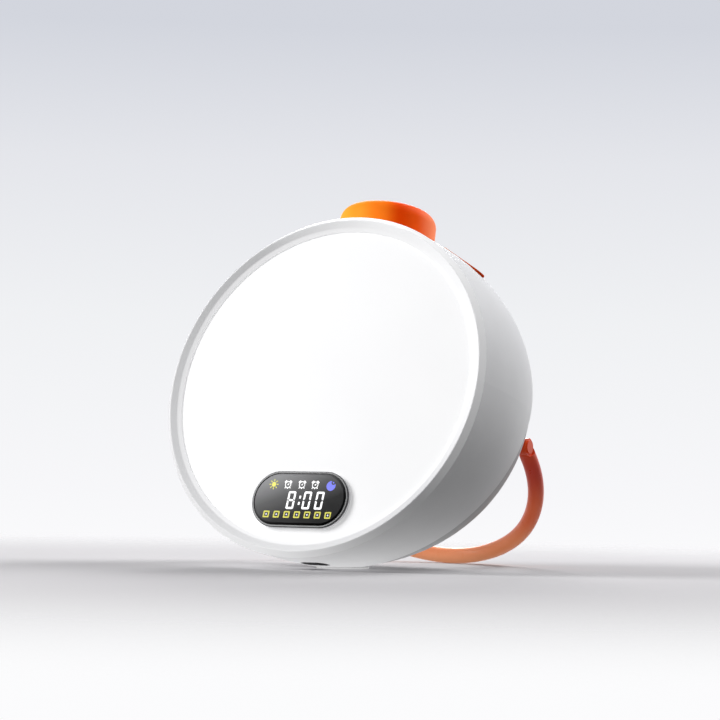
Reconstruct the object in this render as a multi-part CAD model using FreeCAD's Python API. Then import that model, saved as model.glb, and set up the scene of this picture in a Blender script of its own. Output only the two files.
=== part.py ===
import FreeCAD, Part

import math
import os

from FreeCAD import Placement, Rotation
from FreeCAD import Vector as V

os.makedirs("parts", exist_ok=True)

# A bedside sunrise alarm clock: a round lamp face set in a deep bowl, with a snooze button on top,
# a mode button beside it and a swinging tube loop behind that props the clock up.
# All sizes are in millimetres. The clock is built upright: X to the viewer's right, Y from the face
# plane to the back, Z up, with the origin at the middle of the face. At the end every piece is leaned
# back onto its loop, with the middle of the footprint on the table at the origin.

# Bowl: its radius, how far it stays straight, its depth, how square its section is, how fast it rises
rim_radius = 75.0
body_radius = 77.2
straight_depth = 20.4
bowl_depth = 82.4
bowl_squareness = 3.39
bowl_rise = 0.123
back_turn = 85.0
shell_wall = 2.4
cover_wall = 2.2
cover_inset = 0.7

# Parting line between front shell and rear cover, as a plane leaning with the loop
parting_depth = 62.4
parting_slope = 0.30
tongue_length = 5.0
tongue_wall = 1.5

# Face: bevelled ring, opal panel and display window
chamfer_depth = 2.5
bevel_inner_radius = 70.4
bevel_depth = 2.2
ring_lip = 0.6
rim_round = 0.5
spigot_length = 5.5
diffuser_thickness = 2.0
display_width = 46.6
display_height = 24.6
display_drop = 52.3
display_wall = 0.9
display_flange = 1.4
display_proud = 2.3
glass_thickness = 2.0
glass_bevel = 0.9
glass_stand = 0.4
module_width = 36.0
module_height = 17.0
module_depth = 6.0

# Lamp tray, boards and their standoffs
tray_wall = 1.5
tray_depth = 14.2
tray_draft = 1.0
duct_wall = 1.5
ledge_width = 3.0
board_thickness = 1.6
led_board_radius = 61.5
led_size = 3.5
led_height = 1.2
led_rings = ((56.0, 24), (36.0, 14), (16.0, 7))
post_radius = 4.0
post_spread = 32.0
post_end = 66.0
main_board_width = 54.0
main_board_height = 44.0
main_board_depth = 31.0
standoff_radius = 2.6
standoff_inset = 4.0
cell_radius = 10.0
cell_thickness = 3.2
lug_radius = 66.0
lug_width = 7.0
lug_length = 8.0

# Screws, one size throughout
screw_radius = 1.4
screw_head_radius = 2.7
screw_head_height = 1.8
screw_length = 10.0
screw_well_radius = 3.2
screw_web = 4.0

# Snooze button on top
snooze_depth = 34.6
snooze_top = 94.8
snooze_tilt = 4.7
snooze_radius = 21.8
snooze_crown = 1.0
snooze_edge = 6.4
snooze_skirt = 22.0
snooze_wall = 2.2
snooze_stem_radius = 4.0
snooze_stem = 31.1
snooze_travel = 2.0
snooze_hook = 1.0
guide_drop = 25.1
guide_thickness = 2.0
guide_post_radius = 2.2
guide_depth = 24.0
snooze_spring_radius = 6.5
snooze_wire = 0.8
snooze_turns = 5

# Mode button on the viewer's right
mode_angle = 32.4
mode_depth = 36.0
mode_length = 25.0
mode_width = 9.0
mode_proud = 0.25
mode_edge = 0.5
mode_travel = 1.2
mode_land = 1.2
mode_land_drop = 1.0
mode_flange = 1.5
mode_flange_drop = 3.1
mode_flange_thickness = 1.2
mode_board_drop = 10.2
mode_post_radius = 1.8
mode_spring_radius = 1.8
mode_spring_spread = 6.0
mode_wire = 0.4
mode_turns = 5

# Push switches under both buttons
switch_size = 6.0
switch_height = 3.5
plunger_radius = 1.7

# Charging port in the underside
port_depth = 22.0
port_width = 13.4
port_height = 8.0
port_recess = 6.6
port_cup_wall = 0.7
socket_width = 8.94
socket_height = 3.2
socket_length = 7.4
socket_wall = 0.35
tongue_width = 6.7
tongue_height = 0.7
port_frame_wall = 1.2

# Underside: flat behind the ring and the foot pad that carries the leaned clock
base_flat_drop = 76.4
base_flat_slope = 0.10
foot_radius = 11.5
foot_rim = 1.2
foot_proud = 1.0
foot_seat = 2.0
foot_web = 1.6
foot_round = 0.5

# Loop stand and its hinges
lean_angle = 16.8
loop_half_width = 61.0
loop_tube_radius = 3.65
loop_leg = 6.8
loop_side_radius = 70.0
loop_end_reach = 65.6
hinge_depth = 80.8
hinge_drop = 2.4
eye_radius = 3.9
eye_width = 4.6
pin_radius = 2.0
pin_boss_radius = 4.4
pin_seat = 7.0
pin_head_radius = 3.0
pin_head_height = 0.6
washer_thickness = 1.6
bush_wall = 0.8
pocket_floor_wall = 2.2
pocket_reach = 15.0
swing_down = 25.0
swing_up = 75.0

# Speaker behind the grille
speaker_radius = 24.0
speaker_screw_circle = 21.0
speaker_flange = 1.4
speaker_cone_depth = 9.0
magnet_radius = 13.0
magnet_height = 7.0
gasket_outer = 17.5
gasket_width = 3.0
gasket_thickness = 1.0
speaker_post_radius = 2.6
grille_hole = 1.2
grille_pitch = 5.0
grille_rings = 2

# Clearances
fit_gap = 0.1
slide_gap = 0.3
button_gap = 0.35
run_gap = 0.05
screw_gap = 0.05

big = 400.0
front_axis = V(0, -1, 0)
back_axis = V(0, 1, 0)
up_axis = V(0, 0, 1)


# Section of the bowl

def bowl_point(turn, grow=0.0):
    """Depth and radius of the bowl's section, moved outward by grow."""
    angle = math.radians(turn)
    power = 2.0 / bowl_squareness
    radius = body_radius * math.cos(angle) ** power
    depth = straight_depth + bowl_depth * math.sin(angle)
    slope_depth = bowl_depth * math.cos(angle)
    slope_radius = -body_radius * power * math.cos(angle) ** (power - 1.0) * math.sin(angle)
    length = math.hypot(slope_depth, slope_radius)
    return depth - grow * slope_radius / length, radius + grow * slope_depth / length


def axis_height(depth):
    """Height of the bowl's centre line, which rises towards the back."""
    return bowl_rise * (depth - chamfer_depth)


def bowl(grow=0.0):
    """Solid bowl through circles, moved outward by grow."""
    front = chamfer_depth - (0.0 if grow == 0.0 else 1.0)
    stations = [(front, body_radius + grow), ((front + straight_depth) / 2.0, body_radius + grow)]
    stations += [bowl_point(turn, grow) for turn in (0.0, 14.0, 28.0, 42.0, 55.0, 66.0, 76.0, back_turn)]
    rings = []
    for depth, radius in stations:
        circle = Part.makeCircle(radius, V(0, depth, axis_height(depth)), back_axis)
        rings.append(Part.Wire([circle]))
    return Part.makeLoft(rings, True, False)


def outer_radius(depth):
    """Radius of the bowl at a depth behind the face."""
    along = max(0.0, (depth - straight_depth) / bowl_depth)
    return body_radius * (1.0 - along ** 2) ** (1.0 / bowl_squareness)


# Small builders

def revolve(points, axis=back_axis):
    """Turn an outline of radius and height pairs about the Y or the Z axis."""
    if axis == back_axis:
        outline = [V(radius, height, 0) for radius, height in points]
    else:
        outline = [V(radius, 0, height) for radius, height in points]
    face = Part.Face(Part.makePolygon(outline + outline[:1]))
    return face.revolve(V(0, 0, 0), axis, 360)


def cylinder(radius, start, end):
    """Round bar between two points."""
    return Part.makeCylinder(radius, (end - start).Length, start, end - start)


def tube(outer, inner, start, end):
    return cylinder(outer, start, end).cut(cylinder(inner, start, end))


def block(width, depth, height, middle):
    """Box by its sizes along X, Y and Z and its middle."""
    corner = middle - V(width / 2.0, depth / 2.0, height / 2.0)
    return Part.makeBox(width, depth, height, corner)


def stadium_face(width, height):
    """Flat stadium in the XY plane, long side along X."""
    radius = height / 2.0
    side = width / 2.0 - radius
    edges = [
        Part.LineSegment(V(-side, -radius, 0), V(side, -radius, 0)).toShape(),
        Part.Arc(V(side, -radius, 0), V(side + radius, 0, 0), V(side, radius, 0)).toShape(),
        Part.LineSegment(V(side, radius, 0), V(-side, radius, 0)).toShape(),
        Part.Arc(V(-side, radius, 0), V(-side - radius, 0, 0), V(-side, -radius, 0)).toShape(),
    ]
    return Part.Face(Part.Wire(edges))


def stadium(width, height, bottom, top):
    """Stadium prism along Z between two heights."""
    face = stadium_face(width, height)
    face.translate(V(0, 0, bottom))
    return face.extrude(V(0, 0, top - bottom))


def moved(shape, origin, rotation):
    """Copy of a shape built about the world axes, set into another place."""
    copy = shape.copy()
    copy.Placement = Placement(origin, rotation).multiply(copy.Placement)
    return copy


def mirrored(shape):
    return shape.mirror(V(0, 0, 0), V(1, 0, 0))


def joined(shapes):
    """One solid from shapes that touch or overlap."""
    result = shapes[0]
    for shape in shapes[1:]:
        result = result.fuse(shape)
    return result.removeSplitter()


def half_space(point, direction):
    """Everything on the far side of a plane."""
    slab = Part.makeBox(big, big, big, V(-big / 2.0, -big / 2.0, 0))
    return moved(slab, point, Rotation(up_axis, direction))


def coil(radius, wire, turns, bottom, top):
    """Compression spring about Z, with its ends resting on both seats."""
    rise = (top - bottom) - 2.0 * wire
    helix = Part.makeHelix(rise / turns, rise, radius)
    helix.translate(V(0, 0, bottom + wire))
    section = Part.Wire([Part.makeCircle(wire, V(radius, 0, bottom + wire), V(0, 1, 0))])
    turns_solid = Part.Wire(helix.Edges).makePipeShell([section], True, True)
    return turns_solid


def screw(under_head, direction):
    """Pan-head screw by the point under its head and the way it points."""
    way = V(direction).normalize()
    head = cylinder(screw_head_radius, under_head - way * screw_head_height, under_head)
    shank = cylinder(screw_radius, under_head - way * screw_head_height / 2.0, under_head + way * screw_length)
    return joined([head, shank])


def screw_hole(under_head, direction):
    way = V(direction).normalize()
    return cylinder(screw_radius + screw_gap, under_head - way, under_head + way * (screw_length + 1.0))


# Places that several pieces share

face_back = bevel_depth + ring_lip + diffuser_thickness
tray_front = face_back
display_place = Placement(V(0, 0, -display_drop), Rotation(V(1, 0, 0), 90))
parting_plane = (V(0, parting_depth, 0), V(0, 1, -parting_slope))
diffuser_radius = bevel_inner_radius + 2.0
flange_radius = diffuser_radius
tray_radius = flange_radius - tray_draft

corner_posts = [(sx * post_spread, sz * post_spread + axis_height(post_end)) for sx in (-1, 1) for sz in (-1, 1)]
lug_angles = (45.0, 135.0, 225.0, 315.0)


def on_display(shape):
    """Set a shape built with Z towards the viewer at the display's middle on the rim plane."""
    return moved(shape, display_place.Base, display_place.Rotation)


# Face

def make_face_ring():
    spigot_radius = body_radius - shell_wall - fit_gap - axis_height(chamfer_depth + spigot_length)
    spigot_end = chamfer_depth + spigot_length
    inner = diffuser_radius + fit_gap
    ring = revolve([
        (bevel_inner_radius, bevel_depth),
        (rim_radius, 0.0),
        (body_radius, chamfer_depth),
        (spigot_radius, chamfer_depth),
        (spigot_radius, spigot_end),
        (inner, spigot_end),
        (inner, bevel_depth + ring_lip),
        (bevel_inner_radius, bevel_depth + ring_lip),
    ])
    rim_edges = [edge for edge in ring.Edges if edge.BoundBox.YMax < 0.01]
    return ring.makeFillet(rim_round, rim_edges)


def make_diffuser_panel():
    front = V(0, bevel_depth + ring_lip, 0)
    panel = cylinder(diffuser_radius, front, V(0, face_back, 0))
    window = on_display(stadium(display_width + 2 * fit_gap, display_height + 2 * fit_gap, -2 * face_back, 0))
    return panel.cut(window)


def make_display_frame():
    front = -(bevel_depth + ring_lip - display_proud)
    body = stadium(display_width, display_height, -face_back, front)
    body = body.makeFillet(display_wall / 3.0, [e for e in body.Edges if e.BoundBox.ZMin > front - 0.01])
    flange = stadium(display_width + 2 * display_flange, display_height + 2 * display_flange,
                     -face_back - 1.0, -face_back)
    window = stadium(display_width - 2 * display_wall, display_height - 2 * display_wall, -2 * big, big)
    return on_display(joined([body, flange]).cut(window))


def make_display_glass():
    front = -(bevel_depth + ring_lip - display_proud - glass_stand)
    inset = display_wall + fit_gap
    glass = stadium(display_width - 2 * inset, display_height - 2 * inset, front - glass_thickness, front)
    return on_display(glass.makeChamfer(glass_bevel, [e for e in glass.Edges if e.BoundBox.ZMin > front - 0.01]))


glass_back = bevel_depth + ring_lip - display_proud - glass_stand + glass_thickness
module_back = glass_back + module_depth


def make_display_module():
    middle = V(0, glass_back + module_depth / 2.0, -display_drop)
    return block(module_width, module_depth, module_height, middle)


def make_display_board():
    width = display_width - 2 * slide_gap
    height = display_height - 2 * slide_gap
    return on_display(stadium(width, height, -module_back - board_thickness, -module_back))


# Lamp tray and boards inside

def make_light_tray():
    inner = tray_radius - tray_wall
    floor = tray_depth - tray_wall
    dish = revolve([
        (tray_radius - tray_wall, tray_front),
        (flange_radius, tray_front),
        (flange_radius, tray_front + tray_wall),
        (tray_radius, tray_front + tray_wall),
        (tray_radius - tray_draft, tray_depth),
        (0.0, tray_depth),
        (0.0, floor),
        (inner - tray_draft, floor),
    ])
    duct_width = display_width + 2 * duct_wall
    duct_height = display_height + 2 * duct_wall
    duct = on_display(stadium(duct_width, duct_height, -tray_depth, -face_back - 1.0))
    board_room = on_display(stadium(display_width, display_height, -module_back - board_thickness, 0))
    cable_room = on_display(stadium(display_width - 2 * ledge_width, display_height - 2 * ledge_width,
                                    -tray_depth - 1.0, 0))
    tray = joined([dish, duct])
    for x, z in corner_posts:
        tray = tray.fuse(cylinder(post_radius, V(x, floor, z), V(x, post_end, z)))
    for x, z in board_corners():
        tray = tray.fuse(cylinder(standoff_radius, V(x, floor, z), V(x, main_board_depth, z)))
    tray = tray.cut(board_room).cut(cable_room)
    for x, z in corner_posts:
        tray = tray.cut(screw_hole(V(x, post_end + screw_web, z), front_axis))
    for x, z in board_corners():
        tray = tray.cut(screw_hole(V(x, main_board_depth + board_thickness, z), front_axis))
    for place in lug_places():
        tray = tray.cut(screw_hole(place, back_axis))
    return tray.removeSplitter()


def board_corners():
    half_width = main_board_width / 2.0 - standoff_inset
    half_height = main_board_height / 2.0 - standoff_inset
    return [(sx * half_width, sz * half_height) for sx in (-1, 1) for sz in (-1, 1)]


def lug_places():
    """Points under the heads of the screws that hold the tray to the front shell."""
    floor = tray_depth - tray_wall
    places = []
    for angle in lug_angles:
        turn = math.radians(angle)
        places.append(V(lug_radius * math.sin(turn), floor, lug_radius * math.cos(turn)))
    return places


def make_led_board():
    floor = tray_depth - tray_wall
    board = cylinder(led_board_radius, V(0, floor - board_thickness, 0), V(0, floor, 0))
    clear = duct_wall + slide_gap
    notch = on_display(stadium(display_width + 2 * clear, display_height + 2 * clear, -big, 0))
    return board.cut(notch)


def make_leds():
    """Light sources in rings, leaving out the ones that the display would cover."""
    floor = tray_depth - tray_wall - board_thickness
    keep_out = display_height / 2.0 + duct_wall + led_size
    lamps = []
    for radius, count in led_rings:
        for index in range(count):
            turn = 2.0 * math.pi * (index + 0.5) / count
            x = radius * math.sin(turn)
            z = radius * math.cos(turn)
            beside = abs(x) > display_width / 2.0 + duct_wall + led_size
            if abs(z + display_drop) < keep_out and not beside:
                continue
            lamps.append(block(led_size, led_height, led_size, V(x, floor - led_height / 2.0, z)))
    return Part.makeCompound(lamps)


def make_main_board():
    middle = V(0, main_board_depth + board_thickness / 2.0, 0)
    board = block(main_board_width, board_thickness, main_board_height, middle)
    for x, z in board_corners():
        board = board.cut(screw_hole(V(x, main_board_depth + board_thickness, z), front_axis))
    return board


def make_board_parts():
    """Processor, driver chips, capacitors and plugs on the back of the main board."""
    seat = main_board_depth + board_thickness
    chip = block(12.0, 1.6, 12.0, V(8.0, seat + 0.8, 6.0))
    driver = block(6.0, 1.5, 5.0, V(22.0, seat + 0.75, 4.0))
    plugs = [block(9.0, 6.0, 5.0, V(x, seat + 3.0, -17.0)) for x in (-14.0, 0.0, 14.0)]
    cans = [cylinder(3.2, V(x, seat, 16.0), V(x, seat + 8.0, 16.0)) for x in (-4.0, 4.0, 12.0)]
    return Part.makeCompound([chip, driver] + plugs + cans)


cell_place = V(-14.0, main_board_depth + board_thickness, 1.0)


def make_cell_holder():
    """Open ring holder with a floor and a cut front wall for the clock's backup cell."""
    floor = 1.2
    top = floor + cell_thickness
    outer = cylinder(cell_radius + 1.4, cell_place, cell_place + V(0, top, 0))
    room = cylinder(cell_radius + fit_gap, cell_place + V(0, floor, 0), cell_place + V(0, top + 1.0, 0))
    gap = block(8.0, cell_thickness, 30.0, cell_place + V(0, floor + cell_thickness / 2.0, -15.0))
    return outer.cut(room).cut(gap)


def make_backup_cell():
    floor = 1.2
    start = cell_place + V(0, floor, 0)
    return cylinder(cell_radius, start, start + V(0, cell_thickness, 0))


# Snooze button on top

snooze_place = Placement(V(0, snooze_depth, snooze_top), Rotation(V(1, 0, 0), snooze_tilt))
guide_posts = snooze_radius + snooze_hook + slide_gap + guide_post_radius
snooze_board_top = -snooze_stem - snooze_travel - fit_gap * 2 - switch_height - 1.0


def on_snooze(shape):
    return moved(shape, snooze_place.Base, snooze_place.Rotation)


def make_snooze_button():
    """Pillow-shaped cap with a hollow skirt, a middle stem and two hooks under the shell."""
    inner = snooze_radius - snooze_wall
    under = -snooze_crown - snooze_wall
    edge_start = snooze_radius - snooze_edge
    side = -snooze_crown - snooze_edge
    diagonal = math.sqrt(0.5) * snooze_edge
    crown = Part.Arc(V(0, 0, 0), V(edge_start / 2.0, 0, -snooze_crown / 4.0), V(edge_start, 0, -snooze_crown))
    edge = Part.Arc(V(edge_start, 0, -snooze_crown), V(edge_start + diagonal, 0, side + diagonal),
                    V(snooze_radius, 0, side))
    corners = [
        V(snooze_radius, 0, side),
        V(snooze_radius, 0, -snooze_skirt),
        V(inner, 0, -snooze_skirt),
        V(inner, 0, side),
        V(edge_start, 0, under),
        V(snooze_stem_radius, 0, under),
        V(snooze_stem_radius, 0, -snooze_stem),
        V(0, 0, -snooze_stem),
        V(0, 0, 0),
    ]
    edges = [crown.toShape(), edge.toShape()]
    edges += [Part.LineSegment(a, b).toShape() for a, b in zip(corners, corners[1:])]
    cap = Part.Face(Part.Wire(edges)).revolve(V(0, 0, 0), up_axis, 360)
    hook_ring = tube(snooze_radius + snooze_hook, inner, V(0, 0, -snooze_skirt), V(0, 0, -snooze_skirt + 1.0))
    hook_span = block(2 * big, 6.0, 4.0, V(0, 0, -snooze_skirt))
    return on_snooze(joined([cap, hook_ring.common(hook_span)]))


def make_snooze_guide():
    """Bracket under the shell that guides the stem and carries the switch board."""
    half = guide_posts + guide_post_radius
    plate = block(2 * half, guide_depth, guide_thickness, V(0, 0, -guide_drop - guide_thickness / 2.0))
    sleeve = cylinder(snooze_stem_radius + 2.0, V(0, 0, -guide_drop - guide_thickness - 2.0), V(0, 0, -guide_drop))
    legs = [block(2.0, 10.0, -guide_drop - snooze_board_top,
                  V(side * 11.0, 0, (snooze_board_top - guide_drop) / 2.0)) for side in (-1, 1)]
    bore = cylinder(snooze_stem_radius + run_gap, V(0, 0, -big), V(0, 0, big))
    guide = joined([plate, sleeve] + legs).cut(bore)
    for side in (-1, 1):
        under = V(side * guide_posts, 0, -guide_drop - guide_thickness)
        guide = guide.cut(screw_hole(under, up_axis))
    return on_snooze(guide)


def guide_screw_places():
    return [V(side * guide_posts, 0, -guide_drop - guide_thickness) for side in (-1, 1)]


def make_snooze_spring():
    top = -snooze_crown - snooze_wall
    return on_snooze(coil(snooze_spring_radius, snooze_wire, snooze_turns, -guide_drop, top))


def push_switch(board_top):
    """Square push switch with a round plunger, standing on a board."""
    body = block(switch_size, switch_size, switch_height, V(0, 0, board_top + switch_height / 2.0))
    plunger = cylinder(plunger_radius, V(0, 0, board_top + switch_height), V(0, 0, board_top + switch_height + 1.0))
    return joined([body, plunger])


def make_snooze_switch():
    return on_snooze(push_switch(snooze_board_top))


def make_snooze_board():
    middle = V(0, 0, snooze_board_top - board_thickness / 2.0)
    return on_snooze(block(26.0, 14.0, board_thickness, middle))


# Mode button at the viewer's right

mode_turn = Rotation(V(0, 1, 0), mode_angle)
mode_out = mode_turn.multVec(up_axis)
mode_place = V(0, mode_depth, axis_height(mode_depth)) + mode_out * outer_radius(mode_depth)
mode_board_top = -mode_board_drop
mode_posts = mode_width / 2.0 + mode_flange + slide_gap + mode_post_radius


def on_mode(shape):
    return moved(shape, mode_place, mode_turn)


def make_mode_button():
    bottom = -mode_flange_drop - mode_flange_thickness
    bar = stadium(mode_length, mode_width, bottom, mode_proud)
    bar = bar.makeFillet(mode_edge, [e for e in bar.Edges if e.BoundBox.ZMin > mode_proud - 0.01])
    flange = block(mode_length - mode_width, mode_width + 2 * mode_flange, mode_flange_thickness,
                   V(0, 0, bottom + mode_flange_thickness / 2.0))
    return on_mode(joined([bar, flange]))


def make_mode_springs():
    bottom = -mode_flange_drop - mode_flange_thickness
    spring = coil(mode_spring_radius, mode_wire, mode_turns, mode_board_top, bottom)
    return Part.makeCompound([on_mode(moved(spring, V(side * mode_spring_spread, 0, 0), Rotation()))
                              for side in (-1, 1)])


def make_mode_switch():
    return on_mode(push_switch(mode_board_top))


def make_mode_board():
    half = mode_posts + mode_post_radius
    board = block(2 * (mode_spring_spread + 3.0), 2 * half, board_thickness,
                  V(0, 0, mode_board_top - board_thickness / 2.0))
    return on_mode(board)


# Charging port in the underside

base_angle = math.degrees(math.atan(base_flat_slope))
port_point = V(0, port_depth, -base_flat_drop + base_flat_slope * (port_depth - chamfer_depth))
port_turn = Rotation(V(1, 0, 0), 180 + base_angle)
cup_floor = -port_recess
socket_end = cup_floor + 1.0 - socket_length


def on_port(shape):
    """Set a shape built with Z pointing out of the port at the middle of its mouth."""
    return moved(shape, port_point, port_turn)


def make_port_cup():
    """Oval metal cup that lines the recess, with a slot for the socket."""
    cup = stadium(port_width - 2 * fit_gap, port_height - 2 * fit_gap, cup_floor, 0)
    inside = 2 * (fit_gap + port_cup_wall)
    room = stadium(port_width - inside, port_height - inside, cup_floor + port_cup_wall, 1.0)
    slot = stadium(socket_width + 2 * fit_gap, socket_height + 2 * fit_gap, -big, big)
    return on_port(cup.cut(room).cut(slot))


def make_usb_socket():
    shell = stadium(socket_width, socket_height, socket_end, cup_floor + 1.0)
    room = stadium(socket_width - 2 * socket_wall, socket_height - 2 * socket_wall, socket_end + 1.0, big)
    tongue = block(tongue_width, tongue_height, socket_length - 1.5,
                   V(0, 0, socket_end + (socket_length - 1.5) / 2.0))
    return on_port(joined([shell.cut(room), tongue]))


def make_usb_board():
    """Small board behind the socket, standing on the frame round the recess."""
    lift = socket_height / 2.0
    board = block(18.0, board_thickness, 14.0, V(0, lift + board_thickness / 2.0, cup_floor - 7.0 - 0.5))
    return on_port(board)


# Front shell

foot_down = V(0, math.sin(math.radians(lean_angle)), -math.cos(math.radians(lean_angle)))


def lowest_point():
    """Lowest point of the bowl once it is leaned back."""
    best = None
    for step in range(0, int(back_turn) * 10):
        depth, radius = bowl_point(step / 10.0)
        point = V(0, depth, axis_height(depth) - radius)
        if best is None or point.dot(foot_down) > best.dot(foot_down):
            best = point
    return best


foot_point = lowest_point()


def make_shell_lugs():
    """Lugs inside the front shell that the tray is screwed to."""
    lugs = []
    reach = body_radius - lug_radius + lug_width / 2.0
    for angle in lug_angles:
        lug = block(lug_width, lug_length, reach, V(0, tray_depth + lug_length / 2.0,
                                                    lug_radius - lug_width / 2.0 + reach / 2.0))
        lugs.append(moved(lug, V(0, 0, 0), Rotation(V(0, 1, 0), angle)))
    return lugs


def make_front_shell(solid_bowl, inner_bowl):
    shell = solid_bowl.cut(inner_bowl)
    inside = []
    inside += make_shell_lugs()
    for side in (-1, 1):
        foot = V(side * guide_posts, 0, -guide_drop)
        inside.append(on_snooze(cylinder(guide_post_radius, foot, V(side * guide_posts, 0, 0))))
        foot = V(0, side * mode_posts, mode_board_top)
        inside.append(on_mode(cylinder(mode_post_radius, foot, V(0, side * mode_posts, 0))))
    frame_height = port_height + 2 * port_frame_wall
    inside.append(on_port(stadium(port_width + 2 * port_frame_wall, frame_height, cup_floor - 0.5, 0)))
    shell = joined([shell] + [piece.common(solid_bowl) for piece in inside])

    parting_point, parting_way = parting_plane
    shell = shell.cut(half_space(parting_point, parting_way))
    flat_point = V(0, chamfer_depth, -base_flat_drop)
    shell = shell.cut(half_space(flat_point, V(0, base_flat_slope, -1)))
    shell = shell.cut(half_space(foot_point - foot_down * foot_proud, foot_down))
    shell = shell.cut(foot_boss(fit_gap))

    shell = shell.cut(on_snooze(cylinder(snooze_radius + button_gap, V(0, 0, -guide_drop + 1.0), V(0, 0, 10))))
    land = stadium(mode_length + 2 * mode_land, mode_width + 2 * mode_land, -mode_land_drop, 10)
    slot_end = -mode_flange_drop - mode_flange_thickness - mode_travel
    slot = stadium(mode_length + 2 * button_gap, mode_width + 2 * button_gap, slot_end, 10)
    shell = shell.cut(on_mode(land)).cut(on_mode(slot))
    shell = shell.cut(on_port(stadium(port_width, port_height, cup_floor, 10)))
    socket_hole = stadium(socket_width + 2 * fit_gap, socket_height + 2 * fit_gap, cup_floor - 1.0, 0)
    shell = shell.cut(on_port(socket_hole))
    for place in guide_screw_places():
        shell = shell.cut(on_snooze(blind_hole(place, up_axis)))
    for place in lug_places():
        shell = shell.cut(screw_hole(place, back_axis))
    return shell


def blind_hole(under_head, direction):
    way = V(direction).normalize()
    return cylinder(screw_radius + screw_gap, under_head, under_head + way * 8.0)


def foot_boss(grow=0.0):
    """Boss of the rear cover that carries the foot pad and reaches forward through the shell."""
    start = foot_point - foot_down * (foot_proud + foot_seat + foot_web + grow)
    return cylinder(foot_radius + foot_rim + grow, start, foot_point + foot_down)


def make_foot_pad():
    seat = foot_point - foot_down * (foot_proud + foot_seat)
    pad = cylinder(foot_radius, seat, foot_point)
    low = [edge for edge in pad.Edges if abs((edge.BoundBox.Center - foot_point).dot(foot_down)) < 0.01]
    return pad.makeFillet(foot_round, low)


# Loop stand: it reaches the table when the clock leans back

hinge_height = -hinge_drop
lean = math.radians(lean_angle)
foot_level = foot_point.dot(foot_down)
hinge_above_table = foot_level - V(0, hinge_depth, hinge_height).dot(foot_down)
loop_reach = loop_leg + loop_end_reach
loop_angle = math.degrees(math.asin((hinge_above_table - loop_tube_radius) / loop_reach)) - lean_angle
hinge_place = V(0, hinge_depth, hinge_height)
eye_inner = loop_half_width - eye_width / 2.0
eye_outer = loop_half_width + eye_width / 2.0
pocket_floor = eye_inner - washer_thickness - fit_gap


def loop_path():
    """Half the loop's centre line in the XY plane: leg, side arc and end arc."""
    offset = loop_side_radius - loop_half_width
    need = (loop_side_radius - loop_end_reach) / offset
    turn = 2.0 * (math.pi / 4.0 - math.atan(need))
    centre = V(-offset, loop_leg, 0)
    end_radius = loop_side_radius - offset / math.cos(turn)
    end_centre = V(0, loop_leg + offset * math.tan(turn), 0)

    def on_arc(middle, radius, angle):
        return middle + V(radius * math.cos(angle), radius * math.sin(angle), 0)

    start = V(loop_half_width, 0, 0)
    bend = V(loop_half_width, loop_leg, 0)
    join = on_arc(centre, loop_side_radius, turn)
    far = join * 1
    far.x = -join.x
    side = Part.Arc(bend, on_arc(centre, loop_side_radius, turn / 2.0), join)
    end = Part.Arc(join, end_centre + V(0, end_radius, 0), far)
    other = Part.Arc(far, V(-on_arc(centre, loop_side_radius, turn / 2.0).x,
                            on_arc(centre, loop_side_radius, turn / 2.0).y, 0), V(-bend.x, bend.y, 0))
    edges = [Part.LineSegment(start, bend), side, end, other, Part.LineSegment(V(-bend.x, bend.y, 0), -start)]
    return Part.Wire([edge.toShape() for edge in edges])


def on_hinge(shape):
    """Set a shape built with Y along the loop at the hinge, at its resting angle."""
    return moved(shape, hinge_place, Rotation(V(1, 0, 0), -loop_angle))


def make_stand_loop():
    path = loop_path()
    start = V(loop_half_width, 0, 0)
    section = Part.Wire([Part.makeCircle(loop_tube_radius, start, V(0, 1, 0))])
    loop = path.makePipeShell([section], True, True)
    bore_radius = pin_radius + run_gap + bush_wall + fit_gap
    for side in (-1, 1):
        eye = cylinder(eye_radius, V(side * eye_inner, 0, 0), V(side * eye_outer, 0, 0))
        loop = loop.fuse(eye)
    loop = loop.removeSplitter()
    for side in (-1, 1):
        loop = loop.cut(cylinder(bore_radius, V(side * (eye_inner - 1.0), 0, 0), V(side * (eye_outer + 1.0), 0, 0)))
        for face, way in ((eye_inner, -1), (eye_outer, 1)):
            spot = cylinder(eye_radius + slide_gap, V(side * face, 0, 0), V(side * (face + way * 2.0), 0, 0))
            loop = loop.cut(spot)
    return on_hinge(loop)


def make_hinge_bushes():
    outer = pin_radius + run_gap + bush_wall
    bushes = [tube(outer, pin_radius + run_gap, V(side * eye_inner, 0, 0), V(side * eye_outer, 0, 0))
              for side in (-1, 1)]
    return Part.makeCompound([on_hinge(bush) for bush in bushes])


def make_hinge_washers():
    rings = []
    for side in (-1, 1):
        seat = V(side * pocket_floor, 0, 0)
        face = V(side * (pocket_floor + washer_thickness), 0, 0)
        rings.append(on_hinge(tube(eye_radius, pin_radius + screw_gap, seat, face)))
    return Part.makeCompound(rings)


def make_hinge_pins():
    """Stepped pins that hold the loop's eyes, pressed into the bosses of the rear cover."""
    pins = []
    head_seat = eye_outer + run_gap
    for side in (-1, 1):
        shank = cylinder(pin_radius, V(side * (pocket_floor - pin_seat), 0, 0), V(side * head_seat, 0, 0))
        head = cylinder(pin_head_radius, V(side * head_seat, 0, 0), V(side * (head_seat + pin_head_height), 0, 0))
        pins.append(on_hinge(joined([shank, head])))
    return Part.makeCompound(pins)


# Rear cover with the hinge pockets and the speaker grille

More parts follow.
